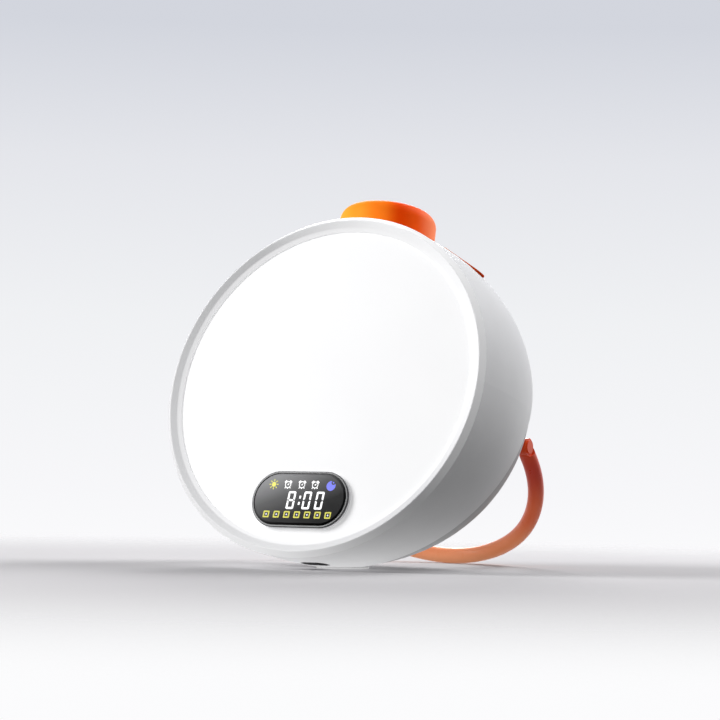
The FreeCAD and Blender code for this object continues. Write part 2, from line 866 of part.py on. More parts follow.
def pocket_outline(margin):
    """Fan that the loop's leg sweeps, in the YZ plane about the hinge, grown by a margin."""
    low = math.radians(-loop_angle - swing_down)
    high = math.radians(-loop_angle + swing_up)
    middle = (low + high) / 2.0

    def spoke(angle):
        return hinge_place + V(0, pocket_reach * math.cos(angle), pocket_reach * math.sin(angle))

    edges = [
        Part.LineSegment(hinge_place, spoke(low)).toShape(),
        Part.Arc(spoke(low), spoke(middle), spoke(high)).toShape(),
        Part.LineSegment(spoke(high), hinge_place).toShape(),
    ]
    return Part.Face(Part.Wire(edges)).makeOffset2D(margin)


def pocket_prism(margin, start):
    fan = pocket_outline(margin)
    fan.translate(V(start, 0, 0))
    return fan.extrude(V(big, 0, 0))


speaker_height = axis_height(straight_depth + bowl_depth)
cover_back = bowl_point(back_turn, -cover_inset - cover_wall)[0]
flange_front = cover_back - gasket_thickness


def grille_points():
    points = [V(0, 0, speaker_height)]
    for ring in range(1, grille_rings + 1):
        for index in range(6 * ring):
            turn = math.radians(60.0 * index / ring)
            radius = grille_pitch * ring
            points.append(V(radius * math.sin(turn), 0, speaker_height + radius * math.cos(turn)))
    return points


def speaker_screw_places():
    places = []
    for angle in (45.0, 135.0, 225.0, 315.0):
        turn = math.radians(angle)
        x = speaker_screw_circle * math.sin(turn)
        z = speaker_height + speaker_screw_circle * math.cos(turn)
        places.append(V(x, flange_front - speaker_flange, z))
    return places


def make_rear_cover(solid_bowl, cover_outer, cover_inner, tongue_outer, tongue_inner):
    parting_point, parting_way = parting_plane
    way = V(parting_way).normalize()
    behind = half_space(parting_point, way)
    shell = cover_outer.cut(cover_inner).common(behind)
    tongue = tongue_outer.cut(tongue_inner)
    tongue = tongue.common(half_space(parting_point - way * tongue_length, way))
    tongue = tongue.cut(half_space(parting_point + way * tongue_length, way))

    inside = []
    for x, z in corner_posts:
        inside.append(cylinder(screw_well_radius + 1.4, V(x, post_end + fit_gap, z), V(x, big, z)))
    for place in speaker_screw_places():
        seat = V(place.x, flange_front, place.z)
        inside.append(cylinder(speaker_post_radius, seat, seat + V(0, 10, 0)))
    pocket = eye_radius + slide_gap
    wall = pocket_prism(pocket + pocket_floor_wall, pocket_floor - pocket_floor_wall)
    boss = cylinder(pin_boss_radius, hinge_place + V(pocket_floor - pin_seat, 0, 0), hinge_place + V(pocket_floor, 0, 0))
    inside += [wall, mirrored(wall), boss, mirrored(boss)]
    cover = joined([shell, tongue, foot_boss().common(solid_bowl)])
    cover = cover.cut(half_space(foot_point - foot_down * foot_proud, foot_down))
    seat = foot_point - foot_down * (foot_proud + foot_seat)
    cover = cover.cut(cylinder(foot_radius + fit_gap, seat, foot_point))
    cover = joined([cover] + [piece.common(cover_outer) for piece in inside])

    room = pocket_prism(pocket, pocket_floor)
    pin_hole = cylinder(pin_radius, hinge_place + V(pocket_floor - pin_seat, 0, 0), hinge_place + V(big, 0, 0))
    for cutter in (room, mirrored(room), pin_hole, mirrored(pin_hole)):
        cover = cover.cut(cutter)
    for x, z in corner_posts:
        cover = cover.cut(cylinder(screw_well_radius, V(x, post_end + screw_web, z), V(x, big, z)))
        cover = cover.cut(screw_hole(V(x, post_end + screw_web, z), front_axis))
    for place in speaker_screw_places():
        cover = cover.cut(cylinder(screw_radius + screw_gap, place, place + V(0, 5.0, 0)))
    for point in grille_points():
        cover = cover.cut(cylinder(grille_hole, point + V(0, cover_back - 5.0, 0), point + V(0, big, 0)))
    return cover


def make_speaker():
    """Frame, cone basket and magnet of the speaker, turned about its own axis."""
    flange_back = flange_front - speaker_flange
    basket = flange_back - speaker_cone_depth
    cone_open = gasket_outer - gasket_width
    body = revolve([
        (cone_open, flange_front),
        (speaker_radius, flange_front),
        (speaker_radius, flange_back),
        (cone_open + 2.0, flange_back),
        (magnet_radius, basket),
        (magnet_radius, basket - magnet_height),
        (0.0, basket - magnet_height),
        (0.0, basket + 2.0),
        (magnet_radius / 2.0, basket + 2.0),
    ])
    body.translate(V(0, 0, speaker_height))
    for place in speaker_screw_places():
        body = body.cut(cylinder(screw_radius + screw_gap, place - V(0, 1, 0), place + V(0, 5, 0)))
    return body


def make_speaker_gasket():
    inner = gasket_outer - gasket_width
    middle = V(0, 0, speaker_height)
    return tube(gasket_outer, inner, middle + V(0, flange_front, 0), middle + V(0, cover_back, 0))


# Fasteners, grouped by what they hold

def make_rear_screws():
    return Part.makeCompound([screw(V(x, post_end + screw_web, z), front_axis) for x, z in corner_posts])


def make_tray_screws():
    return Part.makeCompound([screw(place, back_axis) for place in lug_places()])


def make_board_screws():
    seat = main_board_depth + board_thickness
    return Part.makeCompound([screw(V(x, seat, z), front_axis) for x, z in board_corners()])


def make_guide_screws():
    short = []
    for place in guide_screw_places():
        head = cylinder(screw_head_radius, place - up_axis * screw_head_height, place)
        shank = cylinder(screw_radius, place - up_axis, place + up_axis * 6.0)
        short.append(on_snooze(joined([head, shank])))
    return Part.makeCompound(short)


def make_speaker_screws():
    short = []
    for place in speaker_screw_places():
        head = cylinder(screw_head_radius - 0.4, place - back_axis * screw_head_height, place)
        shank = cylinder(screw_radius, place - back_axis, place + back_axis * 4.0)
        short.append(joined([head, shank]))
    return Part.makeCompound(short)


# Leaning the finished clock back onto its loop

front_reach = -rim_radius * math.sin(lean)
loop_end = hinge_depth * math.cos(lean) + hinge_height * math.sin(lean)
loop_end += loop_reach * math.cos(math.radians(loop_angle + lean_angle)) + loop_tube_radius
footprint_middle = (front_reach + loop_end) / 2.0


def placed(shape):
    copy = shape.copy()
    copy.rotate(V(0, 0, 0), V(1, 0, 0), -lean_angle)
    copy.translate(V(0, -footprint_middle, foot_level))
    return copy


def main():
    solid_bowl = bowl()
    inner_bowl = bowl(-shell_wall)
    cover_outer = bowl(-cover_inset)
    cover_inner = bowl(-cover_inset - cover_wall)
    tongue_outer = bowl(-shell_wall - fit_gap)
    tongue_inner = bowl(-shell_wall - fit_gap - tongue_wall)
    nodes = {
        "face_ring": make_face_ring(),
        "diffuser_panel": make_diffuser_panel(),
        "display_frame": make_display_frame(),
        "display_glass": make_display_glass(),
        "display_module": make_display_module(),
        "display_board": make_display_board(),
        "light_tray": make_light_tray(),
        "led_board": make_led_board(),
        "leds": make_leds(),
        "main_board": make_main_board(),
        "board_parts": make_board_parts(),
        "cell_holder": make_cell_holder(),
        "backup_cell": make_backup_cell(),
        "front_shell": make_front_shell(solid_bowl, inner_bowl),
        "rear_cover": make_rear_cover(solid_bowl, cover_outer, cover_inner, tongue_outer, tongue_inner),
        "foot_pad": make_foot_pad(),
        "snooze_button": make_snooze_button(),
        "snooze_guide": make_snooze_guide(),
        "snooze_spring": make_snooze_spring(),
        "snooze_switch": make_snooze_switch(),
        "snooze_board": make_snooze_board(),
        "mode_button": make_mode_button(),
        "mode_springs": make_mode_springs(),
        "mode_switch": make_mode_switch(),
        "mode_board": make_mode_board(),
        "port_cup": make_port_cup(),
        "usb_socket": make_usb_socket(),
        "usb_board": make_usb_board(),
        "speaker": make_speaker(),
        "speaker_gasket": make_speaker_gasket(),
        "stand_loop": make_stand_loop(),
        "hinge_bushes": make_hinge_bushes(),
        "hinge_washers": make_hinge_washers(),
        "hinge_pins": make_hinge_pins(),
        "rear_screws": make_rear_screws(),
        "tray_screws": make_tray_screws(),
        "board_screws": make_board_screws(),
        "guide_screws": make_guide_screws(),
        "speaker_screws": make_speaker_screws(),
    }
    for name, shape in nodes.items():
        placed(shape).exportStep("parts/" + name + ".step")
    print("loop angle below the clock's axis", round(loop_angle, 2))


main()
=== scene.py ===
import math

import bmesh
import bpy
from mathutils import Matrix, Vector


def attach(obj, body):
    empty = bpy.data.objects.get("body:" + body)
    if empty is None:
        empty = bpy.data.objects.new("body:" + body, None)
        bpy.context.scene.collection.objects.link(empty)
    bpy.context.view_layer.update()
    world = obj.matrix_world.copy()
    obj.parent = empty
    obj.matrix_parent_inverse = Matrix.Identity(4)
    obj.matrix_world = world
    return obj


# Looks of a bedside sunrise alarm clock: materials for the solids, the lit symbols of its display,
# a pale floor and backdrop, soft lamps and a camera at the photograph's angle.
# Lengths are in metres unless a name or a comment says millimetres.

MM = 0.001

# How the clock leans back, and the two directions of its face
LEAN = math.radians(16.8)
FACE_OUT = Vector((0.0, -math.cos(LEAN), math.sin(LEAN)))
FACE_UP = Vector((0.0, math.sin(LEAN), math.cos(LEAN)))
FACE_RIGHT = Vector((1.0, 0.0, 0.0))

# Level direction, the camera's right, along which the buttons' colour runs from amber to red; on the snooze
# button this run holds a painted highlight, painted shade and a painted rim light, and the mode button is
# darker towards the right
GRADE_WAY = Vector((0.872, 0.489, 0.0))

# Camera: where it stands, how it is turned about X, Y and Z in degrees, and its lens
CAMERA_PLACE = (0.47449, -0.86469, 0.03434)
CAMERA_TURN = (93.359, -1.009, 29.263)
CAMERA_LENS = 110.0

# Light that the materials give of themselves: the lamp face and the LEDs glow for real; the ring, the buttons
# and the loop are no lamps, and their glow is painted light that stands in for soft studio light
FACE_GLOW = 0.34
RING_EDGE_PAINTED_LIGHT = 0.32
RING_SIDE_PAINTED_LIGHT = ((0.0, 0.12), (0.53, 0.03), (1.0, 0.28))
SNOOZE_PAINTED_LIGHT = 0.33
MODE_PAINTED_LIGHT = 0.15
LOOP_PAINTED_LIGHT = 0.22
LEDS_GLOW = 0.1

# Ring: where the painted spill of lamp light on its inner edge ends, and the span over which the painted
# light across it runs, in millimetres
EDGE_RADIUS = 71.8
EDGE_FADE = 0.7
SIDE_WAY = FACE_RIGHT * 0.75 + FACE_UP * 0.66
SIDE_SPAN = (-52.0, 60.0)

# Colours of the graded pieces, as pairs of a place along the piece and a colour
# Snooze button: orange, with a painted highlight at its amber start, painted shade in its darkest red and a
# painted rim light at its pale salmon end
SNOOZE_COLOUR_AND_PAINTED_LIGHT_STOPS = (
    (0.0, (0.95, 0.40, 0.04)), (0.2, (0.95, 0.31, 0.02)), (0.42, (1.0, 0.21, 0.012)),
    (0.64, (0.84, 0.06, 0.001)), (0.78, (0.92, 0.09, 0.006)), (1.0, (0.95, 0.26, 0.12)),
)
MODE_STOPS = ((0.0, (0.80, 0.25, 0.012)), (0.45, (0.75, 0.12, 0.006)), (1.0, (0.55, 0.04, 0.004)))
LOOP_STOPS = (
    (0.0, (1.0, 0.40, 0.20)), (0.15, (0.95, 0.30, 0.13)), (0.4, (0.75, 0.13, 0.04)),
    (0.75, (0.50, 0.03, 0.008)), (1.0, (0.68, 0.07, 0.012)),
)
# Painted reflection on the smoked glass, from black at the lower right to grey at the upper left
GLASS_PAINTED_REFLECTION = (
    (0.0, (0.003, 0.003, 0.003)), (0.3, (0.02, 0.02, 0.02)), (0.65, (0.15, 0.15, 0.152)),
    (1.0, (0.42, 0.42, 0.43)),
)

# Display symbols in millimetres, from the middle of the glass
SYMBOL_LIFT = 0.03
SYMBOL_THICKNESS = 0.02
SLANT = math.tan(math.radians(3.0))
ICON_HEIGHT = 6.2
SUN_PLACE = -13.4
SUN_RADIUS = 1.05
SUN_RAYS = 8
RAY_PLACE = 1.8
RAY_LENGTH = 0.85
RAY_WIDTH = 0.38
ALARM_PLACES = (-6.45, 0.4, 6.8)
ALARM_OUTER = 1.5
ALARM_INNER = 1.15
ALARM_HUB = 0.32
MOON_PLACE = 14.5
MOON_DROP = 0.3
MOON_TURN = 55.0
MOON_RADIUS = 2.15
MOON_BITE = 1.0
MOON_SHIFT = 1.75
MOON_DOT = 0.4
DIGITS = ((-5.6, "abcdefg"), (2.1, "abcdef"), (8.15, "abcdef"))
DIGIT_BOTTOM = -4.5
DIGIT_HEIGHT = 7.8
DIGIT_WIDTH = 3.75
DIGIT_STROKE = 0.9
DIGIT_CORNER = 0.45
DIGIT_GAP = 0.22
COLON_PLACE = 0.45
COLON_RISE = 1.35
COLON_WIDTH = 0.85
COLON_HEIGHT = 1.3
DAY_MIDDLE = 0.25
DAY_HEIGHT = -6.9
DAY_PITCH = 5.0
DAY_COUNT = 7
DAY_OUTER = 2.95
DAY_INNER = 1.75
DAY_DOT = 0.36

# Floor: its colour, where it fades into the backdrop, and the light that it gives to the bowl's underside
FLOOR_HALF = 4.0
FLOOR_COLOUR = (0.60, 0.59, 0.605, 1.0)
FLOOR_FADE = (0.18, 0.60)
POOL_PLACE = (-0.03, -0.03, 0.0)
POOL_SPAN = (0.03, 0.11)
POOL_LIGHT = (0.95, 0.21)

# Backdrop from below the horizon upwards, and the even light of the world
BACKDROP_SPAN = (-0.04, 0.22)
BACKDROP_STOPS = (
    (0.0, (0.97, 0.97, 0.98)), (0.15, (0.93, 0.93, 0.95)), (0.45, (0.87, 0.88, 0.90)),
    (0.72, (0.78, 0.79, 0.83)), (0.95, (0.65, 0.67, 0.73)),
)
WORLD_COLOUR = (0.96, 0.97, 1.0, 1.0)
WORLD_LIGHT = 0.14

# Square lamps, each with its name, place, size and power; all of them look at one point
LAMPS = (
    ("front_left", (-1.1, -1.0, 0.9), 0.9, 23.0),
    ("back_right", (0.6, 0.9, 1.1), 0.8, 18.0),
    ("back_left", (-0.6, 1.1, 0.8), 0.5, 9.0),
)
LAMP_AIM = (0, 0, 0.08)

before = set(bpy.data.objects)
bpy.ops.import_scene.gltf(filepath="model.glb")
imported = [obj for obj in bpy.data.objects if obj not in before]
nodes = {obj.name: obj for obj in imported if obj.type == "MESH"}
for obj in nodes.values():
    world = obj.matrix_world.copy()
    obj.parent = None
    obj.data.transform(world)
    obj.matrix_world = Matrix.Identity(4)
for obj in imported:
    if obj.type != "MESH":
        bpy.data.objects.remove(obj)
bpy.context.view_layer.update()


# Measuring the frame

def reach(node, way):
    """Lowest and highest reach of a CAD node's points along a direction."""
    values = [vertex.co.dot(way) for vertex in nodes[node].data.vertices]
    return min(values), max(values)


def face_place(node):
    """Matrix from millimetres on the front of a face node to the row frame: X right, Y up, Z out."""
    left, right = reach(node, FACE_RIGHT)
    bottom, top = reach(node, FACE_UP)
    front = reach(node, FACE_OUT)[1]
    middle = FACE_RIGHT * (left + right) / 2 + FACE_UP * (bottom + top) / 2 + FACE_OUT * front
    turn = Matrix((FACE_RIGHT, FACE_UP, FACE_OUT)).transposed().to_4x4()
    return Matrix.Translation(middle) @ turn @ Matrix.Scale(MM, 4)


# Materials

def add_node(tree, kind, **settings):
    node = tree.nodes.new(kind)
    for name, value in settings.items():
        setattr(node, name, value)
    return node


def start_material(name):
    """New material with its shader; returns the material, its node tree and the shader."""
    material = bpy.data.materials.new(name)
    material.use_nodes = True
    tree = material.node_tree
    return material, tree, tree.nodes["Principled BSDF"]


def place_of(tree):
    """Socket with the point's place on the object, in metres."""
    return add_node(tree, "ShaderNodeTexCoord").outputs["Object"]


def noise(tree, scale, detail=3.0):
    """Even noise over the object; the scale counts its waves in a metre."""
    texture = add_node(tree, "ShaderNodeTexNoise")
    texture.inputs["Scale"].default_value = scale
    texture.inputs["Detail"].default_value = detail
    tree.links.new(place_of(tree), texture.inputs["Vector"])
    return texture.outputs["Fac"]


def ramp(tree, value, stops, ease="LINEAR"):
    """Colour ramp over a value; stops are pairs of position and colour."""
    node = add_node(tree, "ShaderNodeValToRGB")
    node.color_ramp.interpolation = ease
    points = node.color_ramp.elements
    points[0].position = stops[0][0]
    points[1].position = stops[-1][0]
    for position, colour in stops[1:-1]:
        points.new(position)
    for point, (position, colour) in zip(points, stops):
        point.color = (*colour, 1.0)
    tree.links.new(value, node.inputs["Fac"])
    return node.outputs["Color"]


def grey(level):
    return (level, level, level)


def span(tree, value, low, high, to_low=0.0, to_high=1.0):
    """Value that runs from one range to another, and stops at its ends."""
    node = add_node(tree, "ShaderNodeMapRange")
    node.inputs["From Min"].default_value = low
    node.inputs["From Max"].default_value = high
    node.inputs["To Min"].default_value = to_low
    node.inputs["To Max"].default_value = to_high
    tree.links.new(value, node.inputs["Value"])
    return node.outputs["Result"]


def along(tree, way, low, high):
    """Nought to one along a direction on the object, between two reaches in metres."""
    dot = add_node(tree, "ShaderNodeVectorMath", operation="DOT_PRODUCT")
    dot.inputs[1].default_value = tuple(way)
    tree.links.new(place_of(tree), dot.inputs[0])
    return span(tree, dot.outputs["Value"], low, high)


def bump(tree, shader, height, strength, distance):
    node = add_node(tree, "ShaderNodeBump")
    node.inputs["Strength"].default_value = strength
    node.inputs["Distance"].default_value = distance
    tree.links.new(height, node.inputs["Height"])
    tree.links.new(node.outputs["Normal"], shader.inputs["Normal"])


def moulded(name, dark, light, roughness=0.4, metallic=0.0, specular=0.5):
    """Moulded piece: a faint mottle between two tones, uneven gloss and a fine grain."""
    material, tree, shader = start_material(name)
    mottle = noise(tree, 55.0, 4.0)
    colour = ramp(tree, mottle, ((0.3, dark), (0.7, light)))
    tree.links.new(colour, shader.inputs["Base Color"])
    gloss = span(tree, noise(tree, 160.0), 0.3, 0.7, roughness - 0.04, roughness + 0.04)
    tree.links.new(gloss, shader.inputs["Roughness"])
    shader.inputs["Metallic"].default_value = metallic
    shader.inputs["Specular IOR Level"].default_value = specular
    bump(tree, shader, noise(tree, 2600.0, 2.0), 0.25, 0.00004)
    return material


def graded(name, node, way, stops, glow, roughness, coat=0.0, specular=0.25):
    """Piece whose colour runs along a direction from one end to the other, with a faint mottle."""
    material, tree, shader = start_material(name)
    low, high = reach(node, way)
    colour = ramp(tree, along(tree, way, low, high), stops, "EASE")
    mix = add_node(tree, "ShaderNodeMix", data_type="RGBA", blend_type="MULTIPLY")
    mix.inputs[0].default_value = 0.12
    tree.links.new(colour, mix.inputs[6])
    mottle = ramp(tree, noise(tree, 90.0), ((0.3, grey(0.8)), (0.7, grey(1.0))))
    tree.links.new(mottle, mix.inputs[7])
    tree.links.new(mix.outputs[2], shader.inputs["Base Color"])
    # The emission is painted light, since these pieces are no lamps.
    tree.links.new(mix.outputs[2], shader.inputs["Emission Color"])
    shader.inputs["Emission Strength"].default_value = glow
    shader.inputs["Specular IOR Level"].default_value = specular
    gloss = span(tree, noise(tree, 240.0), 0.3, 0.7, roughness - 0.03, roughness + 0.03)
    tree.links.new(gloss, shader.inputs["Roughness"])
    shader.inputs["Coat Weight"].default_value = coat
    shader.inputs["Coat Roughness"].default_value = 0.05
    bump(tree, shader, noise(tree, 1800.0, 2.0), 0.15, 0.00003)
    return material


def lit(name, colour, strength):
    """Lit symbol: an even glow with the faint unevenness of a light guide."""
    material, tree, shader = start_material(name)
    low = tuple(channel * 0.9 for channel in colour)
    glow = ramp(tree, noise(tree, 900.0), ((0.35, low), (0.65, colour)))
    tree.links.new(glow, shader.inputs["Base Color"])
    tree.links.new(glow, shader.inputs["Emission Color"])
    shader.inputs["Emission Strength"].default_value = strength
    shader.inputs["Roughness"].default_value = 0.4
    return material


def make_opal():
    """Opal lamp face, evenly white and lit."""
    material, tree, shader = start_material("opal_face")
    colour = ramp(tree, noise(tree, 30.0), ((0.3, (0.74, 0.74, 0.75)), (0.7, (0.77, 0.77, 0.775))))
    tree.links.new(colour, shader.inputs["Base Color"])
    shader.inputs["Emission Color"].default_value = (1.0, 1.0, 1.0, 1.0)
    shader.inputs["Emission Strength"].default_value = FACE_GLOW
    shader.inputs["Roughness"].default_value = 0.45
    bump(tree, shader, noise(tree, 3000.0, 2.0), 0.2, 0.00003)
    return material


def make_ring():
    """White ring with painted light in its emission: a painted spill of the lamp face's light on its inner
    edge, and painted light brightest at the upper right, a little at the lower left and least in between.
    """
    material = moulded("ring_white", (0.86, 0.86, 0.87), (0.89, 0.89, 0.90), specular=0.2)
    tree = material.node_tree
    shader = tree.nodes["Principled BSDF"]
    middle = face_place("face_ring").translation

    away = add_node(tree, "ShaderNodeVectorMath", operation="SUBTRACT")
    away.inputs[1].default_value = tuple(middle)
    tree.links.new(place_of(tree), away.inputs[0])
    across = add_node(tree, "ShaderNodeVectorMath", operation="CROSS_PRODUCT")
    across.inputs[1].default_value = tuple(FACE_OUT)
    tree.links.new(away.outputs["Vector"], across.inputs[0])
    radius = add_node(tree, "ShaderNodeVectorMath", operation="LENGTH")
    tree.links.new(across.outputs["Vector"], radius.inputs[0])
    # Painted light: a spill of the lamp face's light painted on the ring's inner edge.
    beyond = span(tree, radius.outputs["Value"], EDGE_RADIUS * MM, (EDGE_RADIUS + EDGE_FADE) * MM)
    edge = ramp(tree, beyond, ((0.0, grey(RING_EDGE_PAINTED_LIGHT)), (1.0, grey(0.0))))

    # Painted light across the ring, brightest at the upper right and a little at the lower left.
    centre = middle.dot(SIDE_WAY)
    place = along(tree, SIDE_WAY, centre + SIDE_SPAN[0] * MM, centre + SIDE_SPAN[1] * MM)
    side = ramp(tree, place, [(position, grey(level)) for position, level in RING_SIDE_PAINTED_LIGHT])

    glow = add_node(tree, "ShaderNodeMix", data_type="RGBA", blend_type="LIGHTEN")
    glow.inputs[0].default_value = 1.0
    tree.links.new(edge, glow.inputs[6])
    tree.links.new(side, glow.inputs[7])
    tree.links.new(glow.outputs[2], shader.inputs["Emission Color"])
    shader.inputs["Emission Strength"].default_value = 1.0
    return material


def make_trim():
    """Display trim: gloss black on its front edge, pale down its sides."""
    material = moulded("display_trim", (0.012, 0.012, 0.013), (0.025, 0.025, 0.026), 0.2)
    tree = material.node_tree
    shader = tree.nodes["Principled BSDF"]
    front = reach("display_frame", FACE_OUT)[1]
    edge = along(tree, FACE_OUT, front - 1.0 * MM, front - 0.85 * MM)
    colour = ramp(tree, edge, ((0.0, (0.85, 0.85, 0.86)), (1.0, (0.015, 0.015, 0.016))))
    tree.links.new(colour, shader.inputs["Base Color"])
    return material


def make_smoked_glass():
    """Smoked display glass with a painted reflection that makes it greyer towards its upper left corner."""
    material, tree, shader = start_material("smoked_glass")
    middle = face_place("display_glass").translation
    way = (FACE_UP * 0.93 - FACE_RIGHT * 0.36).normalized()
    centre = middle.dot(way)
    painted_reflection = along(tree, way, centre - 13 * MM, centre + 13 * MM)
    tree.links.new(ramp(tree, painted_reflection, GLASS_PAINTED_REFLECTION), shader.inputs["Base Color"])
    gloss = span(tree, noise(tree, 200.0), 0.3, 0.7, 0.12, 0.2)
    tree.links.new(gloss, shader.inputs["Roughness"])
    shader.inputs["Specular IOR Level"].default_value = 0.04
    return material


def make_board():
    """Green circuit board with faint tracks."""
    material, tree, shader = start_material("circuit_board")
    wave = add_node(tree, "ShaderNodeTexWave")
    wave.inputs["Scale"].default_value = 180.0
    wave.inputs["Distortion"].default_value = 6.0
    tree.links.new(place_of(tree), wave.inputs["Vector"])
    colour = ramp(tree, wave.outputs["Fac"], ((0.4, (0.01, 0.10, 0.04)), (0.6, (0.02, 0.17, 0.07))))
    tree.links.new(colour, shader.inputs["Base Color"])
    shader.inputs["Roughness"].default_value = 0.35
    return material


def dress(material, *names):
    """Give CAD nodes a material."""
    for name in names:
        mesh = nodes[name].data
        mesh.materials.clear()
        mesh.materials.append(material)


def dress_nodes():
    """Give every CAD node its material."""
    shell = moulded("shell_white", (0.86, 0.86, 0.87), (0.89, 0.89, 0.90), 0.42, specular=0.15)
    cover = moulded("cover_grey", (0.50, 0.50, 0.51), (0.55, 0.55, 0.56), 0.45, specular=0.2)
    pale = moulded("inner_white", (0.72, 0.72, 0.72), (0.78, 0.78, 0.78), 0.5)
    black = moulded("part_black", (0.012, 0.012, 0.013), (0.03, 0.03, 0.03), 0.45)
    steel = moulded("steel", (0.48, 0.48, 0.49), (0.60, 0.60, 0.61), 0.3, metallic=1.0)
    port = moulded("port_metal", (0.30, 0.30, 0.31), (0.42, 0.42, 0.43), 0.3, metallic=1.0)
    foam = moulded("foam", (0.02, 0.02, 0.02), (0.05, 0.05, 0.05), 0.9)
    silicone = moulded("silicone_white", (0.72, 0.72, 0.72), (0.78, 0.78, 0.78), 0.6)
    board = make_board()
    dress(shell, "front_shell")
    dress(make_ring(), "face_ring")
    dress(make_opal(), "diffuser_panel")
    dress(cover, "rear_cover")
    dress(make_trim(), "display_frame")
    dress(make_smoked_glass(), "display_glass")
    dress(silicone, "foot_pad")
    dress(port, "port_cup", "usb_socket")
    dress(pale, "light_tray", "snooze_guide", "hinge_bushes", "hinge_washers")
    dress(black, "display_module", "board_parts", "cell_holder", "speaker", "snooze_switch", "mode_switch")
    dress(foam, "speaker_gasket")
    dress(board, "display_board", "led_board", "main_board", "snooze_board", "mode_board", "usb_board")
    dress(steel, "backup_cell", "snooze_spring", "mode_springs", "rear_screws", "tray_screws", "board_screws",
          "guide_screws", "speaker_screws")
    dress(lit("lamp_yellow", (0.95, 0.80, 0.35), LEDS_GLOW), "leds")

    up = Vector((0.0, 0.0, 1.0))
    snooze = graded("snooze_orange", "snooze_button", GRADE_WAY, SNOOZE_COLOUR_AND_PAINTED_LIGHT_STOPS, SNOOZE_PAINTED_LIGHT, 0.45,
                    specular=0.02)
    mode = graded("mode_orange", "mode_button", GRADE_WAY, MODE_STOPS, MODE_PAINTED_LIGHT, 0.5, specular=0.0)
    loop = graded("loop_orange", "stand_loop", up, LOOP_STOPS, LOOP_PAINTED_LIGHT, 0.3, coat=0.12)
    dress(snooze, "snooze_button")
    dress(mode, "mode_button")
    dress(loop, "stand_loop", "hinge_pins")


# Display symbols, as flat outlines in millimetres

def circle(x, y, radius, count=40, start=0.0, turn=360.0):
    """Points round a circle or an arc, from a start angle in degrees."""
    points = []
    for index in range(count if abs(turn) >= 360.0 else count + 1):
        angle = math.radians(start + turn * index / count)
        points.append((x + radius * math.cos(angle), y + radius * math.sin(angle)))
    return points


def bar(x, y, width, height, angle=0.0):
    """Rectangle about a middle, turned by an angle in degrees."""
    c, s = math.cos(math.radians(angle)), math.sin(math.radians(angle))
    corners = ((-1, -1), (1, -1), (1, 1), (-1, 1))
    return [(x + c * a * width / 2 - s * b * height / 2, y + s * a * width / 2 + c * b * height / 2)
            for a, b in corners]


def slanted(points, level):
    """Lean an outline to the right about a level."""
    return [(x + (y - level) * SLANT, y) for x, y in points]


def digit_outlines(left, lit_segments):
    """Outlines of a seven-segment digit; segments are named a to g, clockwise from the top."""
    w, h, t, c, g = DIGIT_WIDTH, DIGIT_HEIGHT, DIGIT_STROKE, DIGIT_CORNER, DIGIT_GAP
    m = h / 2
    top = [(0, h - c), (c, h), (w - c, h), (w, h - c), (w - t, h - t), (t, h - t)]
    side = [(w, h - c), (w, m + g), (w - t / 2, m + g), (w - t, m + g + t / 2), (w - t, h - t)]
    middle = [(t / 2 + g, m), (t + g, m + t / 2), (w - t - g, m + t / 2), (w - t / 2 - g, m),
              (w - t - g, m - t / 2), (t + g, m - t / 2)]

    def flip_x(points):
        return [(w - x, y) for x, y in points]

    def flip_y(points):
        return [(x, h - y) for x, y in points]

    segments = {"a": top, "b": side, "c": flip_y(side), "d": flip_y(top), "e": flip_y(flip_x(side)),
                "f": flip_x(side), "g": middle}
    outlines = []
    for name in lit_segments:
        points = [(left + x, DIGIT_BOTTOM + y) for x, y in segments[name]]
        outlines.append(slanted(points, DIGIT_BOTTOM + h / 2))
    return outlines


def sun_outlines(x, y):
    """Sun: a disc with rays round it."""
    outlines = [circle(x, y, SUN_RADIUS)]
    for index in range(SUN_RAYS):
        turn = 360.0 / SUN_RAYS * index
        angle = math.radians(turn)
        ray_x, ray_y = x + RAY_PLACE * math.cos(angle), y + RAY_PLACE * math.sin(angle)
        outlines.append(bar(ray_x, ray_y, RAY_LENGTH, RAY_WIDTH, turn))
    return outlines


def alarm_outlines(x, y):
    """What a small alarm clock has on and in its ring: two bells, three feet, a hub and a hand."""
    outlines = []
    for side in (-1, 1):
        bell = bar(x + side * 1.22, y + 1.28, 1.25, 0.75, -side * 40.0)
        foot = bar(x + side * 1.15, y - 1.35, 0.75, 0.42, -side * 50.0)
        outlines += [bell, foot]
    middle_foot = bar(x, y - 1.62, 0.6, 0.4)
    hub = circle(x, y, ALARM_HUB, 20)
    hand = bar(x + 0.3, y + 0.3, 0.26, 0.7, -45.0)
    return outlines + [middle_foot, hub, hand]


def moon_outlines(x, y):
    """Fat crescent that opens to the upper right, with a dot in its opening."""
    angle = math.radians(MOON_TURN)
    bite_x, bite_y = x + MOON_SHIFT * math.cos(angle), y + MOON_SHIFT * math.sin(angle)
    outer_squared, bite_squared, shift_squared = MOON_RADIUS ** 2, MOON_BITE ** 2, MOON_SHIFT ** 2
    outer_cosine = (outer_squared + shift_squared - bite_squared) / (2 * MOON_RADIUS * MOON_SHIFT)
    bite_cosine = (bite_squared + shift_squared - outer_squared) / (2 * MOON_BITE * MOON_SHIFT)
    half_outer = math.degrees(math.acos(outer_cosine))
    half_bite = math.degrees(math.acos(bite_cosine))
    outer = circle(x, y, MOON_RADIUS, 40, MOON_TURN + half_outer, 360.0 - 2 * half_outer)
    inner = circle(bite_x, bite_y, MOON_BITE, 30, MOON_TURN - half_bite, -(360.0 - 2 * half_bite))
    return [outer + inner, circle(bite_x, bite_y, MOON_DOT, 16)]


def day_places():
    """Middles of the day squares along their row."""
    return [DAY_MIDDLE + (index - (DAY_COUNT - 1) / 2) * DAY_PITCH for index in range(DAY_COUNT)]


